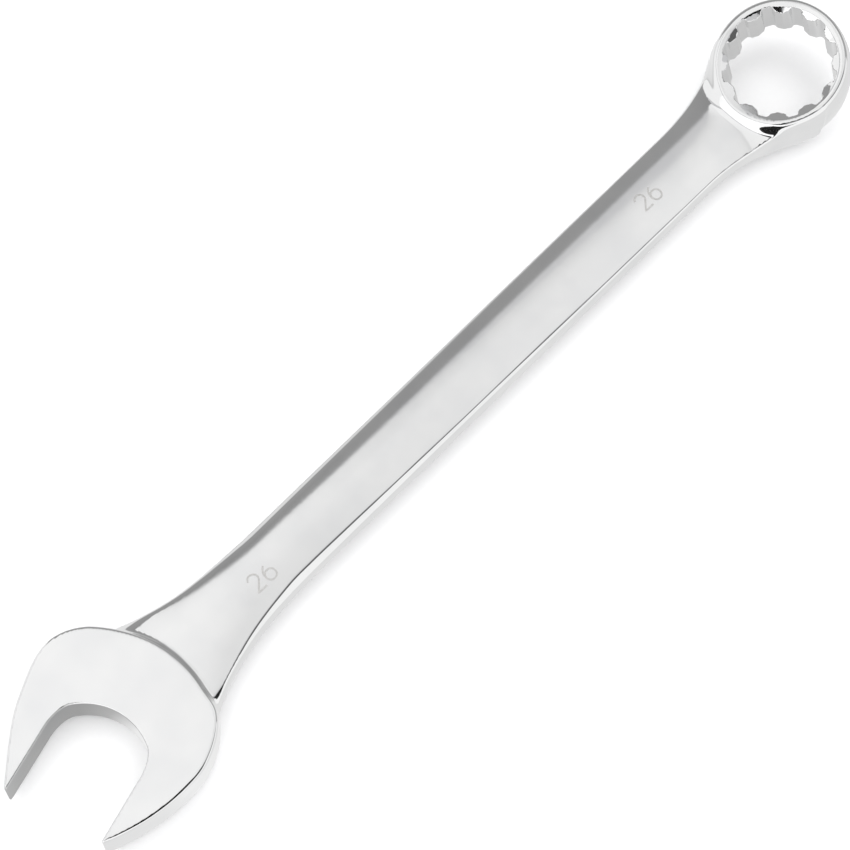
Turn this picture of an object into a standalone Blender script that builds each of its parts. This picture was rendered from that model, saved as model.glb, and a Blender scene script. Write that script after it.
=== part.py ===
"""A 26 mm combination wrench: one steel forging with an open jaw, a shank and a twelve-point ring.

The drawing frame has +X along the shank from the jaw to the ring, +Z up, and its origin where
the jaw's centre line crosses the shank's. The finished part is moved so that its origin is the
middle of the underside of its box. Run it with Blender 4.5; one Blender unit is one metre.
"""

import math

import bmesh
import bpy
from mathutils import Matrix, Vector

MM = 0.001

# Open jaw
JAW_OPENING = 26.15 * MM
JAW_ANGLE = math.radians(15)
JAW_REACH = 32.6 * MM
NUT_CENTRE = 20.2 * MM
THROAT_RADIUS = 16.6 * MM
THROAT_SPAN = math.radians(106)
TIP_RADIUS = 0.75 * MM
HEAD_THICKNESS = 10.2 * MM
HEAD_RIM_ROUND = 0.45 * MM

# Shank
SHANK_WIDTH = 19.4 * MM
SHANK_THICKNESS = 7.8 * MM
CROWN_DROP = 0.95 * MM
BEVEL_WIDTH = 1.95 * MM
BEVEL_FROM = 19.0 * MM
BEVEL_WIDEST = 50.0 * MM
BEVEL_TO = 205.0 * MM
LEAST_BEVEL = 0.35 * MM
NECK_FLARE = 4.0 * MM
NECK_FLARE_FROM = 18.0 * MM
NECK_FLARE_LENGTH = 9.5 * MM
NECK_TAPER = 0.2

# Ring
RING_FROM_JAW = 239.7 * MM
RING_SIDE = -0.8 * MM
RING_LIFT = 4.2 * MM
RING_OFFSET = math.radians(16.5)
RING_DIAMETER = 36.8 * MM
RING_THICKNESS = 14.8 * MM
RING_RIM_DIAMETER = 33.4 * MM
RING_FLARE_FROM = 202.0 * MM
RING_FLARE_RADIUS = 70.0 * MM
LEAD_IN_DIAMETER = 31.4 * MM
LEAD_IN_ANGLE = math.radians(26)

# Twelve-point hole
POINTS = 12
POINT_DIAMETER = 30.2 * MM
LOBE_DIAMETER = 26.8 * MM
POINT_SHARE = 0.42
POINT_PHASE = math.radians(-6)
STEPS_PER_POINT = 12
MOUTH_CLEARANCE = 2.0 * MM

# Sections of the shank. The neck ones are (x, top, bottom, sideways shift).
PLAIN_STATIONS = (4, 9, 12, 16, 18, 21, 25, 31, 40, 55, 90, 125, 160, 190)
NECK_STATIONS = (
    (202, 3.9, -3.9, 0.0),
    (210, 4.0, -4.0, -0.1),
    (216, 4.3, -4.2, -0.25),
    (219, 4.9, -4.5, -0.35),
    (222, 5.9, -4.9, -0.5),
    (225, 6.9, -5.4, -0.6),
    (229, 8.0, -4.9, -0.7),
    (233, 8.9, -3.8, -0.8),
)

# The head's outer edge: (x, y, heading in degrees), clockwise from the upper jaw to the lower
HEAD_KNOTS = (
    (-32.9, 6.5, 40),
    (-16.4, 19.0, 26),
    (-3.4, 23.8, 3),
    (8.0, 18.2, -51),
    (14.6, 6.3, -73),
    (15.0, -11.0, -104),
    (13.0, -18.2, -125),
    (2.8, -25.3, -160),
    (-6.1, -26.4, 180),
    (-24.9, -22.8, 160),
)


def clear_scene():
    for thing in list(bpy.data.objects):
        bpy.data.objects.remove(thing)


def polished_chrome():
    material = bpy.data.materials.new("polished_chrome")
    material.use_nodes = True
    shader = material.node_tree.nodes["Principled BSDF"]
    shader.inputs["Base Color"].default_value = (0.80, 0.81, 0.82, 1.0)
    shader.inputs["Metallic"].default_value = 1.0
    shader.inputs["Roughness"].default_value = 0.16
    return material


def object_from(mesh_edit, name):
    mesh = bpy.data.meshes.new(name)
    mesh_edit.normal_update()
    bmesh.ops.recalc_face_normals(mesh_edit, faces=mesh_edit.faces)
    mesh_edit.to_mesh(mesh)
    mesh_edit.free()
    made = bpy.data.objects.new(name, mesh)
    bpy.context.scene.collection.objects.link(made)
    return made


def helper(made):
    made.hide_render = True
    made.display_type = "WIRE"
    return made


# Outlines


def arc(centre, radius, start, end, steps):
    """Points along an arc, from one angle to the other, both ends included."""
    turns = [start + (end - start) * i / steps for i in range(steps + 1)]
    return [centre + radius * Vector((math.cos(t), math.sin(t))) for t in turns]


def smooth_run(start, end, steps):
    """Points along a cubic between two knots, without the last one."""
    here = Vector(start[:2]) * MM
    there = Vector(end[:2]) * MM
    pull = (there - here).length
    leave = pull * Vector((math.cos(math.radians(start[2])), math.sin(math.radians(start[2]))))
    arrive = pull * Vector((math.cos(math.radians(end[2])), math.sin(math.radians(end[2]))))
    run = []
    for i in range(steps):
        t = i / steps
        run.append(
            here * (1 + 2 * t) * (1 - t) ** 2
            + leave * t * (1 - t) ** 2
            + there * t * t * (3 - 2 * t)
            - arrive * t * t * (1 - t)
        )
    return run


def from_jaw(along, across):
    """A point given along and across the jaw's centre line, in the drawing frame."""
    cos, sin = math.cos(JAW_ANGLE), math.sin(JAW_ANGLE)
    return Vector((-along * cos - across * sin, -along * sin + across * cos))


def jaw_tip(side):
    """One jaw's rounded tip, from its outer edge to its flat. side is 1 for the upper, -1 for the lower."""
    centre = Vector((JAW_REACH - TIP_RADIUS, JAW_OPENING / 2 + TIP_RADIUS))
    tip = arc(centre, TIP_RADIUS, math.radians(50), math.radians(-90), 4)
    return [from_jaw(p.x, side * p.y) for p in tip]


def throat():
    """The bottom of the jaw, an arc round the nut's centre from the upper flat to the lower."""
    half_span = THROAT_SPAN / 2
    run = arc(Vector((NUT_CENTRE, 0)), THROAT_RADIUS, math.pi - half_span, math.pi + half_span, 18)
    return [from_jaw(p.x, p.y) for p in run]


def jaw_flat_end(side):
    """Where one of the jaw's flats stops, just short of the throat."""
    half_span = THROAT_SPAN / 2
    corner = NUT_CENTRE - THROAT_RADIUS * math.cos(half_span)
    return from_jaw(corner + 1.8 * MM, side * JAW_OPENING / 2)


def head_outline():
    """The head's outer edge, tip to tip, and its inner edge back along the flats and the throat."""
    outer = jaw_tip(1)[::-1]
    for start, end in zip(HEAD_KNOTS, HEAD_KNOTS[1:]):
        outer += smooth_run(start, end, 6)
    outer.append(Vector(HEAD_KNOTS[-1][:2]) * MM)
    outer += jaw_tip(-1)
    inner = [jaw_flat_end(-1), *throat()[::-1], jaw_flat_end(1)]
    return outer, inner


# Solids


def open_head():
    """The jaw head: its outline raised to full thickness, with rounded rims."""
    outer, inner = head_outline()
    bm = bmesh.new()
    loop = [bm.verts.new((p.x, p.y, -HEAD_THICKNESS / 2)) for p in outer + inner]
    face = bm.faces.new(loop)
    raised = bmesh.ops.extrude_face_region(bm, geom=[face])["geom"]
    verts = [v for v in raised if isinstance(v, bmesh.types.BMVert)]
    bmesh.ops.translate(bm, verts=verts, vec=(0, 0, HEAD_THICKNESS))
    outside = {(round(p.x, 6), round(p.y, 6)) for p in outer}
    rims = [e for e in bm.edges if abs(e.verts[0].co.z - e.verts[1].co.z) < 0.1 * MM]
    outer_rims = [
        e for e in rims if all((round(v.co.x, 6), round(v.co.y, 6)) in outside for v in e.verts)
    ]
    bmesh.ops.bevel(bm, geom=outer_rims, offset=HEAD_RIM_ROUND, segments=2, affect="EDGES", profile=0.5)
    return helper(object_from(bm, "open_head_blank"))


def ring_placing():
    turn = Matrix.Rotation(-RING_OFFSET, 4, "Y")
    return Matrix.Translation((RING_FROM_JAW, RING_SIDE, RING_LIFT)) @ turn


def ring_blank():
    """The ring head before its hole is cut: a barrel-sided disc, turned about its own axis."""
    half = RING_THICKNESS / 2
    bulge = (RING_DIAMETER - RING_RIM_DIAMETER) / 2
    side = []
    for i in range(9):
        t = math.pi * (i / 8 - 0.5)
        side.append((RING_RIM_DIAMETER / 2 + bulge * math.cos(t) ** 0.7, half * math.sin(t)))
    bm = bmesh.new()
    profile = [bm.verts.new((0, 0, -half))]
    profile += [bm.verts.new((r, 0, z)) for r, z in side]
    profile.append(bm.verts.new((0, 0, half)))
    edges = [bm.edges.new(pair) for pair in zip(profile, profile[1:])]
    bmesh.ops.spin(
        bm, geom=profile + edges, cent=(0, 0, 0), axis=(0, 0, 1), angle=math.tau, steps=72, use_merge=True
    )
    bmesh.ops.remove_doubles(bm, verts=bm.verts, dist=0.001 * MM)
    bm.transform(ring_placing())
    return helper(object_from(bm, "ring_head_blank"))


def half_width(x):
    """Half the shank's width: a soft flare into the jaw head, and an arc into the ring's side."""
    past_neck = x - NECK_FLARE_FROM
    if past_neck > 0:
        flare = NECK_FLARE * math.exp(-past_neck / NECK_FLARE_LENGTH)
    else:
        flare = NECK_FLARE - NECK_TAPER * past_neck
    into_ring = max(0.0, x - RING_FLARE_FROM)
    arc_rise = RING_FLARE_RADIUS - math.sqrt(RING_FLARE_RADIUS**2 - into_ring**2)
    return SHANK_WIDTH / 2 + flare + arc_rise


def bevel_width(x):
    """The bevel beside the panel: nothing at the jaw head's neck, widest a little on, then fading."""
    grows = BEVEL_WIDTH * (x - BEVEL_FROM) / (BEVEL_WIDEST - BEVEL_FROM)
    fades = BEVEL_WIDTH * (BEVEL_TO - x) / (BEVEL_TO - BEVEL_WIDEST)
    return max(LEAST_BEVEL, min(grows, fades))


def shank_section(x, top, bottom, side):
    """One cross-section: a crowned panel above and below, a bevel beside each, and a rounded edge."""
    half = half_width(x)
    panel = half - bevel_width(x)
    middle = (top + bottom) / 2
    rise = (top - bottom) / 2
    shoulder = rise - CROWN_DROP - bevel_width(x)
    quarter = [(half, 0.0), (half - 0.2 * MM, 0.8 * shoulder)]
    quarter += [(panel * t, rise - CROWN_DROP * t * t) for t in (1.0, 0.6, 0.2)]
    above = quarter + [(-y, z) for y, z in quarter[::-1]]
    below = [(-y, -z) for y, z in above[1:-1]]
    return [(x, side + y, middle + z) for y, z in above + below]


def shank_stations():
    """(x, top, bottom, side) along the shank. Its neck thickens and climbs into the tilted ring."""
    half = SHANK_THICKNESS / 2
    stations = [(x * MM, half, -half, 0.0) for x in PLAIN_STATIONS]
    stations += [tuple(v * MM for v in station) for station in NECK_STATIONS]
    return stations


def shank_blank():
    bm = bmesh.new()
    loops = []
    for station in shank_stations():
        loops.append([bm.verts.new(p) for p in shank_section(*station)])
    for near, far in zip(loops, loops[1:]):
        for i in range(len(near)):
            j = (i + 1) % len(near)
            bm.faces.new((near[i], near[j], far[j], far[i]))
    bm.faces.new(loops[0])
    bm.faces.new(loops[-1])
    return object_from(bm, "wrench_forging")


def twelve_point_radius(turn):
    """The hole's radius before its mouths are opened: twelve narrow points with wide lobes between."""
    high, low = POINT_DIAMETER / 2, LOBE_DIAMETER / 2
    from_point = abs(((turn - POINT_PHASE) * POINTS / math.tau + 0.5) % 1.0 - 0.5)
    share = min(1.0, from_point / POINT_SHARE)
    return low + (high - low) * (0.5 + 0.5 * math.cos(math.pi * share))


def hole_cutter():
    """The broached hole and the cone at each of its mouths, as one cutter."""
    half = RING_THICKNESS / 2
    mouth = LEAD_IN_DIAMETER / 2
    slope = math.tan(LEAD_IN_ANGLE)
    count = POINTS * STEPS_PER_POINT
    bm = bmesh.new()
    columns = []
    for i in range(count):
        turn = math.tau * i / count
        radius = twelve_point_radius(turn)
        meets = half - (mouth - radius) * slope
        beyond = half + MOUTH_CLEARANCE
        wide = mouth + MOUTH_CLEARANCE / slope
        side = ((wide, beyond), (radius, meets), (radius, -meets), (wide, -beyond))
        columns.append([bm.verts.new((r * math.cos(turn), r * math.sin(turn), z)) for r, z in side])
    for i in range(count):
        here, there = columns[i], columns[(i + 1) % count]
        for j in range(3):
            bm.faces.new((here[j], here[j + 1], there[j + 1], there[j]))
    bm.faces.new([column[0] for column in columns])
    bm.faces.new([column[3] for column in columns])
    bm.transform(ring_placing())
    return helper(object_from(bm, "hole_cutter"))


def combine(base, other, operation):
    step = base.modifiers.new(other.name, "BOOLEAN")
    step.operation = operation
    step.solver = "EXACT"
    step.object = other


def stand_on_origin(forging, helpers):
    """Moves everything so that the origin is the middle of the underside of the forging's box."""
    bpy.context.view_layer.update()
    shaped = forging.evaluated_get(bpy.context.evaluated_depsgraph_get())
    corners = [Vector(corner) for corner in shaped.bound_box]
    low = Vector([min(c[i] for c in corners) for i in range(3)])
    high = Vector([max(c[i] for c in corners) for i in range(3)])
    shift = Matrix.Translation(-Vector(((low.x + high.x) / 2, (low.y + high.y) / 2, low.z)))
    for thing in [forging, *helpers]:
        thing.data.transform(shift)


def main():
    clear_scene()
    forging = shank_blank()
    heads = [open_head(), ring_blank()]
    hole = hole_cutter()
    for head in heads:
        combine(forging, head, "UNION")
    combine(forging, hole, "DIFFERENCE")
    forging.data.materials.append(polished_chrome())
    forging.data.shade_smooth()
    forging.data.set_sharp_from_angle(angle=math.radians(35))
    stand_on_origin(forging, [*heads, hole])


main()
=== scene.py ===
"""Looks for the 26 mm combination wrench: one polished chrome forging on a pale studio floor.

The forging's surface is worked out as a signed distance in a drawing frame in millimetres: +X
along the shank from the jaw to the ring, +Z up, origin where the jaw's centre line crosses the
shank's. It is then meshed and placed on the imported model's box.
"""

import math

import bmesh
import bpy
import numpy as np
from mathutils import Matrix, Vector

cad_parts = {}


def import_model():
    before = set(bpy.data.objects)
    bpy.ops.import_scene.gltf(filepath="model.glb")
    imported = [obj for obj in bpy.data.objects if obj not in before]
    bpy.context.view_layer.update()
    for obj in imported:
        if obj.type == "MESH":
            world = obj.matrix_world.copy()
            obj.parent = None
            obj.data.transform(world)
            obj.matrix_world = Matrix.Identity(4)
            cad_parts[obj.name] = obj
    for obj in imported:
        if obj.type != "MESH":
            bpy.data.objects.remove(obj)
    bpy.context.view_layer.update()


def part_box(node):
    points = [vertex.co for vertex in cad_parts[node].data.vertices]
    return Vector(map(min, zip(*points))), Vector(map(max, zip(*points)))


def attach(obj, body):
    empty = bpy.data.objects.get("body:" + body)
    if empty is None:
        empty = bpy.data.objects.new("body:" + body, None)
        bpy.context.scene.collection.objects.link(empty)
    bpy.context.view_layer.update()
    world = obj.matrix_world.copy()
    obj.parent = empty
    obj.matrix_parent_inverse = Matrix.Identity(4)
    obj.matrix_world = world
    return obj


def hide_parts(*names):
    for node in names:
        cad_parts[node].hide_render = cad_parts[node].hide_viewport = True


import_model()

MM = 0.001
NODE = "wrench_forging"
ORIGIN_FROM_LOW_CORNER = np.array((35.09, 26.40, 7.64))

# Open jaw, mm
JAW_HALF_OPENING = 13.075
JAW_ANGLE = math.radians(15)
JAW_REACH = 32.6
# The outer edge runs this much past the jaw's flats before the tips are rounded
TIP_OVERLAP = (0.1, 0.35)
TIP_HEADINGS = (48, 158)
NUT_CENTRE = 20.2
THROAT_RADIUS = 16.6
THROAT_CORNER = 2.5
TIP_ROUND = 0.7
HEAD_HALF_THICKNESS = 5.1
HEAD_RIM_ROUND = 0.95
FAR_RIM_SHARPER_BY = 0.45
JAW_RIM_ROUND = 0.45
RIM_BLEND = 1.5
FAR_RIM_REACH = 30.0
HEAD_FILLET = 1.15
# Past this x the head's distance isn't worked out, and the mesh is coarser
HEAD_REACH = 26.0
OUT_OF_REACH = 10.0
# The head's outer edge: (x, y, heading in degrees), clockwise from the upper jaw to the lower
HEAD_KNOTS = (
    (-32.9, 6.5, 40),
    (-16.4, 19.0, 26),
    (-3.4, 23.8, 3),
    (8.0, 18.2, -51),
    (14.6, 6.3, -73),
    (15.0, -11.0, -104),
    (13.0, -18.2, -125),
    (2.8, -25.3, -160),
    (-6.1, -26.4, 180),
    (-24.9, -22.8, 160),
)
HEAD_STEPS = 36

# Shank, mm
SHANK_FROM = 2.0
CROWN_RADIUS = 32.0
LEAST_CROWN_DROP = 0.95
# The crown grows from its least drop to its full one, and its lower half flattens again: (x, run)
CROWN_GROWS = (35.0, 30.0)
CROWN_FLATTENS = (210.0, 16.0)
BEVEL_SLOPE = 1.2
BEVEL_KNOTS = (
    (0, 4.5),
    (8, 3.8),
    (14, 2.0),
    (19, 0.5),
    (24, 0.6),
    (50, 1.95),
    (205, 0.35),
    (300, 0.35),
)
BEVEL_ROUND_KNOTS = ((0, 0.9), (12, 0.9), (20, 0.7), (60, 0.7), (100, 0.35), (300, 0.35))
SIDE_ROUND = 0.9
# Half widths, mostly for the jaw head's neck: (x, upper side, lower side)
WIDTH_KNOTS = (
    (0, 21.4, 22.0),
    (4, 20.8, 21.5),
    (7.6, 19.2, 20.6),
    (12.3, 15.7, 18.6),
    (15, 14.4, 17.1),
    (17, 13.4, 16.0),
    (18.5, 12.8, 15.2),
    (21.8, 11.8, 14.0),
    (26.7, 10.8, 12.6),
    (31.6, 10.25, 11.5),
    (36, 10.0, 10.8),
    (41, 9.85, 10.3),
    (50, 9.7, 9.8),
    (60, 9.7, 9.7),
    (300, 9.7, 9.7),
)
RING_FLARE_FROM = 202.0
RING_FLARE_RADIUS = 70.0
# (x, top, bottom, sideways shift)
SHANK_KNOTS = (
    (0, 3.9, -3.9, 0.0),
    (202, 3.9, -3.9, 0.0),
    (210, 4.0, -4.0, -0.1),
    (216, 4.3, -4.2, -0.25),
    (219, 4.9, -4.5, -0.35),
    (222, 5.9, -4.9, -0.5),
    (225, 6.9, -5.4, -0.6),
    (229, 8.0, -4.9, -0.7),
    (233, 8.9, -3.8, -0.8),
    (300, 8.9, -3.8, -0.8),
)
SHANK_TO = 234.0
SOFTENING = 1.6

# Ring, mm
RING_CENTRE = np.array((239.7, -0.8, 4.2))
RING_TILT = math.radians(16.5)
RING_RADIUS = 18.4
RING_BULGE = 1.0
RING_HALF_THICKNESS = 7.4
RING_RIM_ROUND = 1.15
RING_FILLET = 3.0
# The neck's fillet rises above the ring's face by FACE_ROUND at most, and more past FACE_RADIUS
FACE_RADIUS = 16.3
FACE_SLOPE = 0.9
FACE_ROUND = 0.35
LEAD_IN_RADIUS = 15.7
LEAD_IN_ANGLE = math.radians(26)
POINTS = 12
POINT_PHASE = math.radians(-6)
POINT_RADIUS = 15.15
POINT_HALF_WIDTH = 1.55
POINT_ROUND = 0.8
LOBE_RADIUS = 14.1
LOBE_SWELL = 0.8
LOBE_EDGE_ROUND = 0.55
LEAD_IN_ROUND = 0.15
HOLE_EDGE_ROUND = 0.3

# Size marks, mm: (x, y) of each mark's middle, and the strokes of its two digits
MARK_PLACES = {"size_mark_jaw_end": (44.7, -1.6), "size_mark_ring_end": (187.4, -0.3)}
MARK_HEIGHT = 5.0
MARK_STROKE = 0.5
MARK_LIFT = 0.012
NEAR_PANEL = 3.8
# A digit is arcs and straight runs in a box 0.6 wide and 1 high:
# ("arc", centre x, centre y, radius, from degrees, to degrees) or ("to", x, y)
TWO = (("arc", 0.30, 0.70, 0.28, 165, -38), ("to", 0.03, 0.03), ("to", 0.60, 0.03))
SIX = (("arc", 0.62, 0.32, 0.62, 118, 178), ("arc", 0.30, 0.30, 0.29, 180, 540))
DIGIT_STEP = 0.82
MARK_MIDDLE = 0.71
ARC_POINTS = 28
RUN_POINTS = 12

# Mesh
HEAD_CELL = 0.5
SHANK_CELL = 1.5
RING_CELL = 0.45
RING_ZONE_FROM = 203.0
# The grid's low and high corners
GRID_LOW = (-37.0, -28.1, -8.6)
GRID_HIGH = (260.0, 26.0, 17.6)
NORMAL_REACH = 0.06
MERGE_DISTANCE = 0.03

# Camera
CAMERA_PLACE = (-0.20383, -0.17808, 0.63078)
CAMERA_TURN = (22.919, -0.446, -46.511)
CAMERA_LENS = 114.35
SENSOR_WIDTH = 36.0

# Studio, m
FLOOR_HALF = 3.0
OVERHEAD_HEIGHT = 0.80
PAINTED_SHADOW_FLOOR_HEIGHT = 0.0002


# Signed distances, negative inside the steel


def joined(a, b, radius):
    """The union of two shapes, with a round fillet where they meet."""
    u = np.maximum(radius - a, 0.0)
    v = np.maximum(radius - b, 0.0)
    return np.maximum(radius, np.minimum(a, b)) - np.hypot(u, v)


def shared(a, b, radius):
    """What two shapes have in common, with a round edge where they meet."""
    return -joined(-a, -b, radius)


def head_outline():
    """The head's outer edge as a closed loop: cubics between knots, then straight across the mouth."""
    points = []
    knots = [jaw_corner(1)] + list(HEAD_KNOTS) + [jaw_corner(-1)]
    for near, far in zip(knots, knots[1:]):
        here, there = np.array(near[:2]), np.array(far[:2])
        pull = np.linalg.norm(there - here)
        leave = pull * np.array((math.cos(math.radians(near[2])), math.sin(math.radians(near[2]))))
        arrive = pull * np.array((math.cos(math.radians(far[2])), math.sin(math.radians(far[2]))))
        for i in range(HEAD_STEPS):
            t = i / HEAD_STEPS
            points.append(
                here * (1 + 2 * t) * (1 - t) ** 2
                + leave * t * (1 - t) ** 2
                + there * t * t * (3 - 2 * t)
                - arrive * t * t * (1 - t)
            )
    points.append(np.array(knots[-1][:2]))
    return np.array(points)


def jaw_corner(side):
    """Where one jaw's outer edge would meet the end of its flat, and the edge's heading there."""
    cos, sin = math.cos(JAW_ANGLE), math.sin(JAW_ANGLE)
    across = side * (JAW_HALF_OPENING + TIP_OVERLAP[0])
    along = JAW_REACH + TIP_OVERLAP[1]
    heading = TIP_HEADINGS[0] if side > 0 else TIP_HEADINGS[1]
    return (-along * cos - across * sin, -along * sin + across * cos, heading)


def loop_distance(x, y, loop):
    """Signed distance from points to a closed loop in the plane."""
    x, y = np.broadcast_arrays(x, y)
    nearest = np.full(x.shape, np.inf)
    inside = np.zeros(x.shape, bool)
    for start, end in zip(loop, np.roll(loop, -1, axis=0)):
        run = end - start
        length = run @ run
        if length < 1e-12:
            continue
        px, py = x - start[0], y - start[1]
        share = np.clip((px * run[0] + py * run[1]) / length, 0.0, 1.0)
        nearest = np.minimum(nearest, (px - share * run[0]) ** 2 + (py - share * run[1]) ** 2)
        if run[1] != 0.0:
            crosses = (start[1] > y) != (end[1] > y)
            inside ^= crosses & (px < run[0] * py / run[1])
    return np.where(inside, -1.0, 1.0) * np.sqrt(nearest)


def jaw_gap(x, y):
    """The space between the jaws: two flats and a round throat."""
    cos, sin = math.cos(JAW_ANGLE), math.sin(JAW_ANGLE)
    along = -x * cos - y * sin
    across = -x * sin + y * cos
    back = np.hypot(np.minimum(along - NUT_CENTRE, 0.0), across) - THROAT_RADIUS
    return shared(back, np.abs(across) - JAW_HALF_OPENING, THROAT_CORNER)


def open_head(x, y, z, loop):
    near = np.asarray(x) < HEAD_REACH
    shape = np.broadcast_shapes(np.shape(x), np.shape(y))
    outer = np.full(shape, OUT_OF_REACH)
    near = np.broadcast_to(near, shape)
    x_near = np.broadcast_to(x, shape)[near]
    y_near = np.broadcast_to(y, shape)[near]
    outer[near] = loop_distance(x_near, y_near, loop)
    gap = -jaw_gap(x, y)
    flat = shared(outer, gap, TIP_ROUND)
    inner = np.clip(0.5 + (gap - outer) / RIM_BLEND, 0.0, 1.0)
    outer_rim = HEAD_RIM_ROUND - FAR_RIM_SHARPER_BY * np.clip((y - x) / FAR_RIM_REACH, 0.0, 1.0)
    rim = outer_rim + (JAW_RIM_ROUND - outer_rim) * inner
    return shared(flat, np.abs(z) - HEAD_HALF_THICKNESS, rim)


def soft_table(knots, column):
    """A knot table's column, sampled finely along x and softened so that it has no kinks."""
    where = np.arange(-20.0, 300.0, 0.25)
    value = np.interp(where, [k[0] for k in knots], [k[column] for k in knots])
    reach = np.arange(-6.0, 6.01, 0.25)
    weight = np.exp(-0.5 * (reach / SOFTENING) ** 2)
    padded = np.pad(value, len(reach) // 2, mode="edge")
    return where, np.convolve(padded, weight / weight.sum(), mode="valid")


SHANK_TOP = soft_table(SHANK_KNOTS, 1)
SHANK_BOTTOM = soft_table(SHANK_KNOTS, 2)
SHANK_SHIFT = soft_table(SHANK_KNOTS, 3)
BEVEL_WIDTH = soft_table(BEVEL_KNOTS, 1)
BEVEL_ROUND = soft_table(BEVEL_ROUND_KNOTS, 1)
UPPER_WIDTH = soft_table(WIDTH_KNOTS, 1)
LOWER_WIDTH = soft_table(WIDTH_KNOTS, 2)


def half_width(x, upper):
    """Half the shank's width on one side, with an arc into the ring's side."""
    into_ring = np.clip(x - RING_FLARE_FROM, 0.0, 40.0)
    rise = RING_FLARE_RADIUS - np.sqrt(RING_FLARE_RADIUS**2 - into_ring**2)
    return np.where(upper, np.interp(x, *UPPER_WIDTH), np.interp(x, *LOWER_WIDTH)) + rise


def shank(x, y, z):
    top, bottom = np.interp(x, *SHANK_TOP), np.interp(x, *SHANK_BOTTOM)
    shifted = y - np.interp(x, *SHANK_SHIFT)
    across, upper = np.abs(shifted), shifted > 0
    up = np.abs(z - (top + bottom) / 2)
    rise = (top - bottom) / 2
    half = half_width(x, upper)
    slope = half_width(x + 0.5, upper) - half_width(x - 0.5, upper)
    side = (across - half) / np.sqrt(1 + slope**2)
    bevel = np.interp(x, *BEVEL_WIDTH)
    panel = half - bevel
    drop = crown_drop(x, panel, upper)
    tilt = 2 * drop * across / panel**2
    crown = (up - rise + drop * (across / panel) ** 2) / np.sqrt(1 + tilt**2)
    chamfer = (up - rise + drop + BEVEL_SLOPE * (side + bevel)) / math.hypot(1, BEVEL_SLOPE)
    body = shared(shared(crown, chamfer, np.interp(x, *BEVEL_ROUND)), side, SIDE_ROUND)
    return np.maximum(np.maximum(body, SHANK_FROM - x), x - SHANK_TO)


def crown_drop(x, panel, upper):
    """How far the panel falls from its middle to its edges. Its lower half flattens at the ring."""
    full = panel**2 / (2 * CROWN_RADIUS)
    along = np.clip((x - CROWN_GROWS[0]) / CROWN_GROWS[1], 0.0, 1.0)
    blend = along * along * (3 - 2 * along)
    flattening = np.clip((x - CROWN_FLATTENS[0]) / CROWN_FLATTENS[1], 0.0, 1.0)
    at_ring = np.where(upper, 0.0, flattening)
    blend = blend * (1 - at_ring * at_ring * (3 - 2 * at_ring))
    return LEAST_CROWN_DROP + (full - LEAST_CROWN_DROP) * blend


def ring_coordinates(x, y, z):
    """Radius, turn and height in the tilted ring's own frame. Turn 0 points away from the jaw."""
    cos, sin = math.cos(RING_TILT), math.sin(RING_TILT)
    x, y, z = x - RING_CENTRE[0], y - RING_CENTRE[1], z - RING_CENTRE[2]
    along = x * cos + z * sin
    height = -x * sin + z * cos
    return np.hypot(along, y), np.arctan2(y, along), height


def ring_body(radius, height):
    side = radius - RING_RADIUS + RING_BULGE * (height / RING_HALF_THICKNESS) ** 2
    return shared(side, np.abs(height) - RING_HALF_THICKNESS, RING_RIM_ROUND)


def ring_hole(radius, turn, height):
    """The twelve-point hole and its two lead-in cones, negative in the open space."""
    phase = (turn - POINT_PHASE) * POINTS / math.tau
    off_point = (phase + 0.5) % 1.0 - 0.5
    across = np.abs(radius * np.sin(off_point * math.tau / POINTS))
    along = radius * np.cos(off_point * math.tau / POINTS)
    u = across - POINT_HALF_WIDTH + POINT_ROUND
    v = along - POINT_RADIUS + POINT_ROUND
    outside = np.hypot(np.maximum(u, 0), np.maximum(v, 0))
    flute = outside + np.minimum(np.maximum(u, v), 0) - POINT_ROUND
    lobe = radius - LOBE_RADIUS + LOBE_SWELL * (2 * np.abs(off_point)) ** 2
    bore = joined(lobe, flute, LOBE_EDGE_ROUND)
    depth = RING_HALF_THICKNESS - np.abs(height)
    cone = (radius - LEAD_IN_RADIUS) * math.sin(LEAD_IN_ANGLE) + depth * math.cos(LEAD_IN_ANGLE)
    return joined(bore, cone, LEAD_IN_ROUND)


def forging(x, y, z, loop):
    radius, turn, height = ring_coordinates(x, y, z)
    neck = np.maximum(shank(x, y, z), -jaw_gap(x, y))
    body = joined(neck, open_head(x, y, z, loop), HEAD_FILLET)
    body = joined(body, ring_body(radius, height), RING_FILLET)
    face = np.abs(height) - RING_HALF_THICKNESS - FACE_SLOPE * np.maximum(radius - FACE_RADIUS, 0.0)
    body = shared(body, face - FACE_ROUND, FACE_ROUND)
    return shared(body, -ring_hole(radius, turn, height), HOLE_EDGE_ROUND)


# Meshing


def grid_axes():
    along = np.concatenate(
        (
            np.arange(GRID_LOW[0], HEAD_REACH, HEAD_CELL),
            np.arange(HEAD_REACH, RING_ZONE_FROM, SHANK_CELL),
            np.arange(RING_ZONE_FROM, GRID_HIGH[0], RING_CELL),
        )
    )
    across = np.arange(GRID_LOW[1], GRID_HIGH[1], HEAD_CELL)
    up = np.arange(GRID_LOW[2], GRID_HIGH[2], RING_CELL)
    return along, across, up


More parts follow.
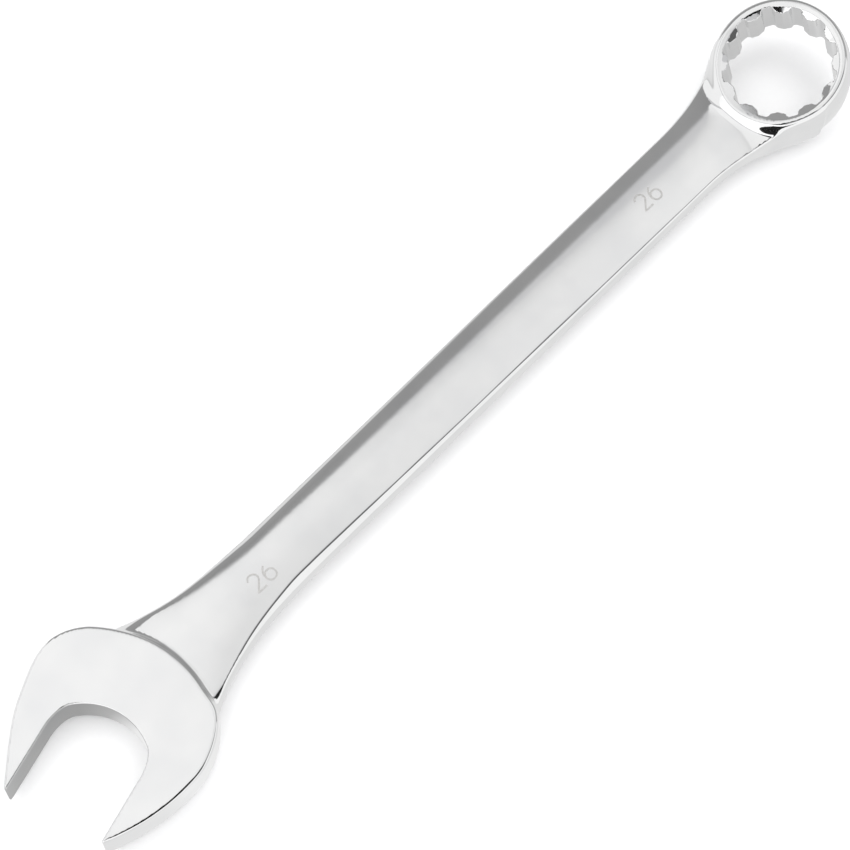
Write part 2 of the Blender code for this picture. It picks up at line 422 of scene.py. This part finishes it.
def cell_mesh(values, axes):
    """A mesh of the zero surface: a point for each cell it passes through, a face for each edge."""
    inside = values < 0
    cells = tuple(n - 1 for n in values.shape)
    total = np.zeros(cells + (3,))
    count = np.zeros(cells)
    crossings = []
    for axis in range(3):
        low = [slice(None)] * 3
        high = [slice(None)] * 3
        low[axis], high[axis] = slice(None, -1), slice(1, None)
        a, b = values[tuple(low)], values[tuple(high)]
        hit = np.argwhere((a < 0) != (b < 0))
        at = tuple(hit.T)
        share = a[at] / (a[at] - b[at])
        place = np.stack([axes[k][hit[:, k]] for k in range(3)], axis=1)
        step = axes[axis][hit[:, axis] + 1] - axes[axis][hit[:, axis]]
        place[:, axis] += share * step
        others = [k for k in range(3) if k != axis]
        ring = []
        for offset in ((0, 0), (1, 0), (1, 1), (0, 1)):
            cell = hit.copy()
            cell[:, others[0]] -= offset[0]
            cell[:, others[1]] -= offset[1]
            ring.append(cell)
            np.add.at(total, tuple(cell.T), place)
            np.add.at(count, tuple(cell.T), 1)
        crossings.append((ring, inside[tuple(low)][at], axis))
    used = count > 0
    number = np.full(cells, -1)
    number[used] = np.arange(used.sum())
    points = total[used] / count[used][:, None]
    faces = []
    for ring, starts_inside, axis in crossings:
        quad = np.stack([number[tuple(cell.T)] for cell in ring], axis=1)
        flip = starts_inside if axis == 1 else ~starts_inside
        quad[flip] = quad[flip][:, ::-1]
        faces.append(quad)
    return points, np.concatenate(faces)


def gradient(points, loop, reach):
    slopes = []
    for axis in range(3):
        step = np.zeros(3)
        step[axis] = reach
        ahead = forging(*(points + step).T, loop)
        behind = forging(*(points - step).T, loop)
        slopes.append((ahead - behind) / (2 * reach))
    return np.stack(slopes, axis=1)


def settle(points, loop):
    """Moves the points onto the surface itself."""
    for _ in range(3):
        value = forging(*points.T, loop)
        slope = gradient(points, loop, 0.02)
        size = np.maximum((slope**2).sum(axis=1), 0.2)
        points = points - np.clip(value / size, -0.3, 0.3)[:, None] * slope
    return points


def forging_piece(loop, origin):
    axes = grid_axes()
    values = forging(axes[0][:, None, None], axes[1][None, :, None], axes[2][None, None, :], loop)
    points, faces = cell_mesh(values, axes)
    points = settle(points, loop)
    mesh = bpy.data.meshes.new("polished_forging")
    mesh.from_pydata((points * MM + origin).tolist(), [], faces.tolist())
    drop_flat_faces(mesh)
    points = (np.array([vertex.co for vertex in mesh.vertices]) - origin) / MM
    normals = gradient(points, loop, NORMAL_REACH)
    normals /= np.linalg.norm(normals, axis=1)[:, None]
    mesh.shade_smooth()
    mesh.normals_split_custom_set_from_vertices(normals.tolist())
    piece = bpy.data.objects.new("polished_forging", mesh)
    bpy.context.scene.collection.objects.link(piece)
    return piece


def drop_flat_faces(mesh):
    """Merges points that landed on each other, and removes the faces left with no area."""
    bm = bmesh.new()
    bm.from_mesh(mesh)
    bmesh.ops.remove_doubles(bm, verts=bm.verts, dist=MERGE_DISTANCE * MM)
    bmesh.ops.dissolve_degenerate(bm, dist=MERGE_DISTANCE * MM, edges=bm.edges)
    bm.to_mesh(mesh)
    bm.free()


def digit_path(strokes):
    """Points a short step apart along a digit's strokes, in its own box."""
    path = []
    for kind, *numbers in strokes:
        if kind == "arc":
            x, y, radius, start, end = numbers
            turns = np.radians(np.linspace(start, end, ARC_POINTS))
            path += [(x + radius * math.cos(t), y + radius * math.sin(t)) for t in turns]
        else:
            start, end = np.array(path[-1]), np.array(numbers)
            steps = range(1, RUN_POINTS + 1)
            path += [tuple(start + (end - start) * i / RUN_POINTS) for i in steps]
    return np.array(path) * MARK_HEIGHT


def ribbon(path, width):
    """Two rows of points, one each side of a path, and the faces between them."""
    run = np.gradient(path, axis=0)
    run /= np.linalg.norm(run, axis=1)[:, None]
    aside = np.stack([-run[:, 1], run[:, 0]], axis=1) * width / 2
    points = np.concatenate([path - aside, path + aside])
    count = len(path)
    faces = [(i, i + 1, count + i + 1, count + i) for i in range(count - 1)]
    return points, faces


def size_mark(name, middle, loop, origin):
    """The size, 26, as shallow matt strokes that follow the shank's crown."""
    flat, faces = [], []
    for index, strokes in enumerate((TWO, SIX)):
        points, quads = ribbon(digit_path(strokes), MARK_STROKE)
        points = points + (MARK_HEIGHT * (index * DIGIT_STEP - MARK_MIDDLE), -MARK_HEIGHT / 2)
        start = sum(len(part) for part in flat)
        flat.append(points + middle)
        faces += [tuple(start + corner for corner in quad) for quad in quads]
    flat = np.concatenate(flat)
    points = np.column_stack([flat, np.full(len(flat), NEAR_PANEL)])
    points = settle(points, loop)
    normals = gradient(points, loop, NORMAL_REACH)
    normals /= np.linalg.norm(normals, axis=1)[:, None]
    points = points + normals * MARK_LIFT
    mesh = bpy.data.meshes.new(name)
    mesh.from_pydata((points * MM + origin).tolist(), [], faces)
    mesh.update()
    piece = bpy.data.objects.new(name, mesh)
    bpy.context.scene.collection.objects.link(piece)
    return piece


# Materials


def node(tree, kind, place, **settings):
    made = tree.nodes.new(kind)
    made.location = place
    for name, value in settings.items():
        if hasattr(made, name):
            setattr(made, name, value)
        else:
            made.inputs[name.replace("_", " ")].default_value = value
    return made


def chrome():
    """Bright plating: mirror-like on the edges, faintly satin on the flat faces, with fine wear."""
    material = bpy.data.materials.new("polished_chrome")
    material.use_nodes = True
    tree = material.node_tree
    shader = tree.nodes["Principled BSDF"]
    shader.inputs["Metallic"].default_value = 1.0
    place = node(tree, "ShaderNodeTexCoord", (-1500, 0))
    link = tree.links.new

    stretch = node(tree, "ShaderNodeMapping", (-1300, 300))
    stretch.inputs["Scale"].default_value = (60, 1500, 1500)
    link(place.outputs["Object"], stretch.inputs["Vector"])
    grain = node(tree, "ShaderNodeTexNoise", (-1100, 300), Scale=1.0, Detail=4.0, Roughness=0.6)
    link(stretch.outputs["Vector"], grain.inputs["Vector"])

    cloud = node(tree, "ShaderNodeTexNoise", (-1100, 0), Scale=90.0, Detail=3.0, Roughness=0.5)
    link(place.outputs["Object"], cloud.inputs["Vector"])
    peel = node(tree, "ShaderNodeTexNoise", (-1100, -300), Scale=420.0, Detail=2.0, Roughness=0.5)
    link(place.outputs["Object"], peel.inputs["Vector"])

    facing = node(tree, "ShaderNodeSeparateXYZ", (-1100, 600))
    link(place.outputs["Normal"], facing.inputs["Vector"])
    level = node(tree, "ShaderNodeMath", (-900, 600), operation="ABSOLUTE")
    link(facing.outputs["Z"], level.inputs[0])
    satin = node(tree, "ShaderNodeMapRange", (-700, 600))
    satin.inputs["From Min"].default_value = 0.955
    satin.inputs["From Max"].default_value = 0.998
    satin.inputs["To Min"].default_value = 0.05
    satin.inputs["To Max"].default_value = 0.13
    link(level.outputs[0], satin.inputs["Value"])
    spread = node(tree, "ShaderNodeMapRange", (-700, 300))
    spread.inputs["To Min"].default_value = -0.02
    spread.inputs["To Max"].default_value = 0.03
    link(grain.outputs["Fac"], spread.inputs["Value"])
    rough = node(tree, "ShaderNodeMath", (-450, 450), operation="ADD", use_clamp=True)
    link(satin.outputs["Result"], rough.inputs[0])
    link(spread.outputs["Result"], rough.inputs[1])
    link(rough.outputs[0], shader.inputs["Roughness"])

    tint = node(tree, "ShaderNodeValToRGB", (-700, 0))
    tint.color_ramp.elements[0].position = 0.3
    tint.color_ramp.elements[0].color = (0.865, 0.868, 0.872, 1.0)
    tint.color_ramp.elements[1].position = 0.7
    tint.color_ramp.elements[1].color = (0.92, 0.92, 0.918, 1.0)
    link(cloud.outputs["Fac"], tint.inputs["Fac"])
    link(tint.outputs["Color"], shader.inputs["Base Color"])

    lines = node(tree, "ShaderNodeBump", (-450, -100), Strength=0.05, Distance=0.00002)
    link(grain.outputs["Fac"], lines.inputs["Height"])
    skin = node(tree, "ShaderNodeBump", (-250, -250), Strength=0.06, Distance=0.0001)
    link(peel.outputs["Fac"], skin.inputs["Height"])
    link(lines.outputs["Normal"], skin.inputs["Normal"])
    link(skin.outputs["Normal"], shader.inputs["Normal"])
    return material


def etched():
    """The size marks: plating dulled by a shallow etch, uneven along each stroke."""
    material = bpy.data.materials.new("etched_mark")
    material.use_nodes = True
    tree = material.node_tree
    shader = tree.nodes["Principled BSDF"]
    shader.inputs["Metallic"].default_value = 0.85
    place = node(tree, "ShaderNodeTexCoord", (-1100, 0))
    speck = node(tree, "ShaderNodeTexNoise", (-900, 0), Scale=1800.0, Detail=4.0, Roughness=0.65)
    tree.links.new(place.outputs["Object"], speck.inputs["Vector"])
    tint = node(tree, "ShaderNodeValToRGB", (-600, 100))
    tint.color_ramp.elements[0].position = 0.3
    tint.color_ramp.elements[0].color = (0.55, 0.545, 0.53, 1.0)
    tint.color_ramp.elements[1].position = 0.7
    tint.color_ramp.elements[1].color = (0.70, 0.695, 0.68, 1.0)
    tree.links.new(speck.outputs["Fac"], tint.inputs["Fac"])
    tree.links.new(tint.outputs["Color"], shader.inputs["Base Color"])
    rough = node(tree, "ShaderNodeMapRange", (-600, -150))
    rough.inputs["To Min"].default_value = 0.35
    rough.inputs["To Max"].default_value = 0.60
    tree.links.new(speck.outputs["Fac"], rough.inputs["Value"])
    tree.links.new(rough.outputs["Result"], shader.inputs["Roughness"])
    pits = node(tree, "ShaderNodeBump", (-300, -300), Strength=0.3, Distance=0.00002)
    tree.links.new(speck.outputs["Fac"], pits.inputs["Height"])
    tree.links.new(pits.outputs["Normal"], shader.inputs["Normal"])
    return material


def floor_paper():
    material = bpy.data.materials.new("studio_paper")
    material.use_nodes = True
    tree = material.node_tree
    shader = tree.nodes["Principled BSDF"]
    shader.inputs["Roughness"].default_value = 0.9
    shader.inputs["Specular IOR Level"].default_value = 0.1
    place = node(tree, "ShaderNodeTexCoord", (-900, 0))
    fibre = node(tree, "ShaderNodeTexNoise", (-700, 0), Scale=900.0, Detail=3.0)
    tree.links.new(place.outputs["Object"], fibre.inputs["Vector"])
    tint = node(tree, "ShaderNodeValToRGB", (-450, 0))
    tint.color_ramp.elements[0].color = (0.90, 0.90, 0.90, 1.0)
    tint.color_ramp.elements[1].color = (0.93, 0.93, 0.93, 1.0)
    tree.links.new(fibre.outputs["Fac"], tint.inputs["Fac"])
    tree.links.new(tint.outputs["Color"], shader.inputs["Base Color"])
    return material


# Studio


def lamp(name, place, size, radiance):
    """A soft light pointing down, unseen in reflections. Its power is worked out from its radiance."""
    data = bpy.data.lights.new(name, "AREA")
    data.shape = "RECTANGLE"
    data.size, data.size_y = size
    data.energy = radiance * math.pi * size[0] * size[1]
    made = bpy.data.objects.new(name, data)
    made.location = place
    made.visible_camera = False
    made.visible_glossy = False
    bpy.context.scene.collection.objects.link(made)


def card(name, rows, tones):
    """A glowing card that only reflections show: rows of corners, and how bright it is at each."""
    across = len(rows[0])
    faces = []
    for i in range(len(rows) - 1):
        for j in range(across - 1):
            at = i * across + j
            faces.append((at, at + 1, at + across + 1, at + across))
    mesh = bpy.data.meshes.new(name)
    mesh.from_pydata([corner for row in rows for corner in row], [], faces)
    glow_at = mesh.color_attributes.new("tone", "FLOAT_COLOR", "POINT")
    for point, tone in zip(glow_at.data, [tone for row in tones for tone in row]):
        point.color = (tone, tone, tone, 1.0)
    material = bpy.data.materials.new(name)
    material.use_nodes = True
    tree = material.node_tree
    tree.nodes.remove(tree.nodes["Principled BSDF"])
    tone = node(tree, "ShaderNodeVertexColor", (-500, 0), layer_name="tone")
    glow = node(tree, "ShaderNodeEmission", (-200, 0))
    tree.links.new(tone.outputs["Color"], glow.inputs["Color"])
    tree.links.new(glow.outputs["Emission"], tree.nodes["Material Output"].inputs["Surface"])
    mesh.materials.append(material)
    made = bpy.data.objects.new(name, mesh)
    made.visible_camera = False
    made.visible_diffuse = False
    made.visible_shadow = False
    bpy.context.scene.collection.objects.link(made)


def wall(name, start, end, height, tones):
    """An upright card between two points on the floor; its tones are low and high at each end."""
    low = [(*start, 0.0), (*end, 0.0)]
    high = [(*start, height), (*end, height)]
    card(name, [low, high], tones)


def ceiling(name, low, high, height, tones):
    """A level card over the bench; its tones are at the low and high ends, near side then far."""
    rows = [[(x, y, height) for x in (low[0], high[0])] for y in (low[1], high[1])]
    card(name, rows, tones)


def world():
    made = bpy.data.worlds.new("studio")
    made.use_nodes = True
    tree = made.node_tree
    room = tree.nodes["Background"]
    room.inputs["Color"].default_value = (0.62, 0.62, 0.63, 1.0)
    seen = node(tree, "ShaderNodeBackground", (0, -200))
    seen.inputs["Color"].default_value = (1.0, 1.0, 1.0, 1.0)
    path = node(tree, "ShaderNodeLightPath", (0, 300))
    mix = node(tree, "ShaderNodeMixShader", (250, 0))
    tree.links.new(path.outputs["Is Camera Ray"], mix.inputs["Fac"])
    tree.links.new(room.outputs["Background"], mix.inputs[1])
    tree.links.new(seen.outputs["Background"], mix.inputs[2])
    tree.links.new(mix.outputs["Shader"], tree.nodes["World Output"].inputs["Surface"])
    bpy.context.scene.world = made


def studio():
    world()
    mesh = bpy.data.meshes.new("floor")
    corners = [(x * FLOOR_HALF, y * FLOOR_HALF, 0) for x, y in ((-1, -1), (1, -1), (1, 1), (-1, 1))]
    mesh.from_pydata(corners, [], [(0, 1, 2, 3)])
    floor = bpy.data.objects.new("floor", mesh)
    floor.data.materials.append(floor_paper())
    bpy.context.scene.collection.objects.link(floor)
    overhead_xs = (-0.60, 0.045, 0.09, 0.16, 0.31, 0.40, 0.48, 1.0)
    overhead_ends = (0.575, 0.575, 0.575, 0.575, 0.455, 0.406, 0.30, 0.30)
    card(
        "overhead",
        [
            [(x, -0.32, OVERHEAD_HEIGHT) for x in overhead_xs],
            [(x, -0.05, OVERHEAD_HEIGHT) for x in overhead_xs],
            [(x, end / 2, OVERHEAD_HEIGHT) for x, end in zip(overhead_xs, overhead_ends)],
            [(x, end, OVERHEAD_HEIGHT) for x, end in zip(overhead_xs, overhead_ends)],
        ],
        [
            (0.95, 0.85, 0.72, 0.80, 0.85, 0.88, 0.90, 0.90),
            (1.00, 0.92, 0.76, 0.84, 0.87, 0.88, 0.92, 0.90),
            (1.00, 0.99, 0.90, 0.88, 0.85, 0.84, 0.86, 0.88),
            (1.00, 1.00, 1.00, 0.95, 0.74, 0.73, 0.76, 0.80),
        ],
    )
    ceiling("camera_flag", (-0.46, -0.38), (0.0, -0.195), 0.60, [(0.01, 0.01), (0.01, 0.01)])
    ceiling("jaw_flag", (-0.17, -0.24), (-0.03, -0.075), 0.12, [(0.01, 0.02), (0.01, 0.02)])
    wall("jaw_side", (-0.9, -0.9), (-0.9, 0.9), 1.0, [(1.1, 1.0), (1.3, 1.2)])
    wall("near_side", (-0.9, -0.9), (1.6, -0.9), 1.0, [(1.05, 0.9), (1.05, 0.9)])
    wall("far_side", (0.04, 1.0), (1.6, 1.0), 1.5, [(0.34, 0.38), (0.28, 0.34)])
    wall("far_corner", (-0.9, 0.9), (0.04, 1.0), 1.0, [(0.98, 0.95), (0.98, 0.95)])
    ceiling("edge_flag", (0.04, -0.52), (0.50, -0.34), 0.60, [(0.12, 0.12), (0.12, 0.12)])
    wall("ring_side", (1.6, -0.9), (1.6, 1.0), 1.4, [(0.45, 0.30), (0.42, 0.26)])
    # Painted shadow: this glowing card stands in for the floor in reflections. Its tones are darker on
    # the +y side of the wrench and in the jaw's opening, where the wrench's shadow falls. The real
    # floor is hidden from reflections below.
    painted_shadow_xs = (-3.0, -0.150, -0.124, -0.1155, -0.1125, -0.090, 0.050, 0.120, 3.0)
    painted_shadow_ys = (-3.0, -0.014, -0.003, 0.006, 0.014, 0.024, 3.0)
    card(
        "reflected_floor_painted_shadow",
        [[(x, y, PAINTED_SHADOW_FLOOR_HEIGHT) for x in painted_shadow_xs] for y in painted_shadow_ys],
        [
            (0.92, 0.92, 0.92, 0.92, 0.92, 0.90, 0.88, 0.88, 0.88),
            (0.84, 0.80, 0.84, 0.92, 0.92, 0.80, 0.80, 0.80, 0.84),
            (0.70, 0.62, 0.52, 0.86, 0.88, 0.72, 0.72, 0.68, 0.80),
            (0.62, 0.48, 0.36, 0.46, 0.50, 0.60, 0.55, 0.60, 0.75),
            (0.70, 0.50, 0.40, 0.40, 0.40, 0.60, 0.50, 0.58, 0.75),
            (0.85, 0.80, 0.80, 0.80, 0.80, 0.85, 0.60, 0.86, 0.90),
            (0.90, 0.90, 0.88, 0.88, 0.88, 0.92, 0.80, 0.92, 0.95),
        ],
    )
    floor.visible_glossy = False
    lamp("floor_wash", (0.0, 0.0, 1.5), (3.0, 3.0), 1.5)


def camera():
    data = bpy.data.cameras.new("camera")
    data.lens = CAMERA_LENS
    data.sensor_width = SENSOR_WIDTH
    data.clip_start = 0.01
    made = bpy.data.objects.new("camera", data)
    made.location = CAMERA_PLACE
    made.rotation_euler = [math.radians(angle) for angle in CAMERA_TURN]
    bpy.context.scene.collection.objects.link(made)
    bpy.context.scene.camera = made


def main():
    low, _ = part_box(NODE)
    origin = np.array(low) + ORIGIN_FROM_LOW_CORNER * MM
    camera()
    studio()
    loop = head_outline()
    piece = forging_piece(loop, origin)
    piece.data.materials.append(chrome())
    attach(piece, "root")
    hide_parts(NODE)
    mark_finish = etched()
    for name, middle in MARK_PLACES.items():
        mark = size_mark(name, middle, loop, origin)
        mark.data.materials.append(mark_finish)
        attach(mark, "root")
    bpy.context.scene.view_settings.view_transform = "Standard"


main()
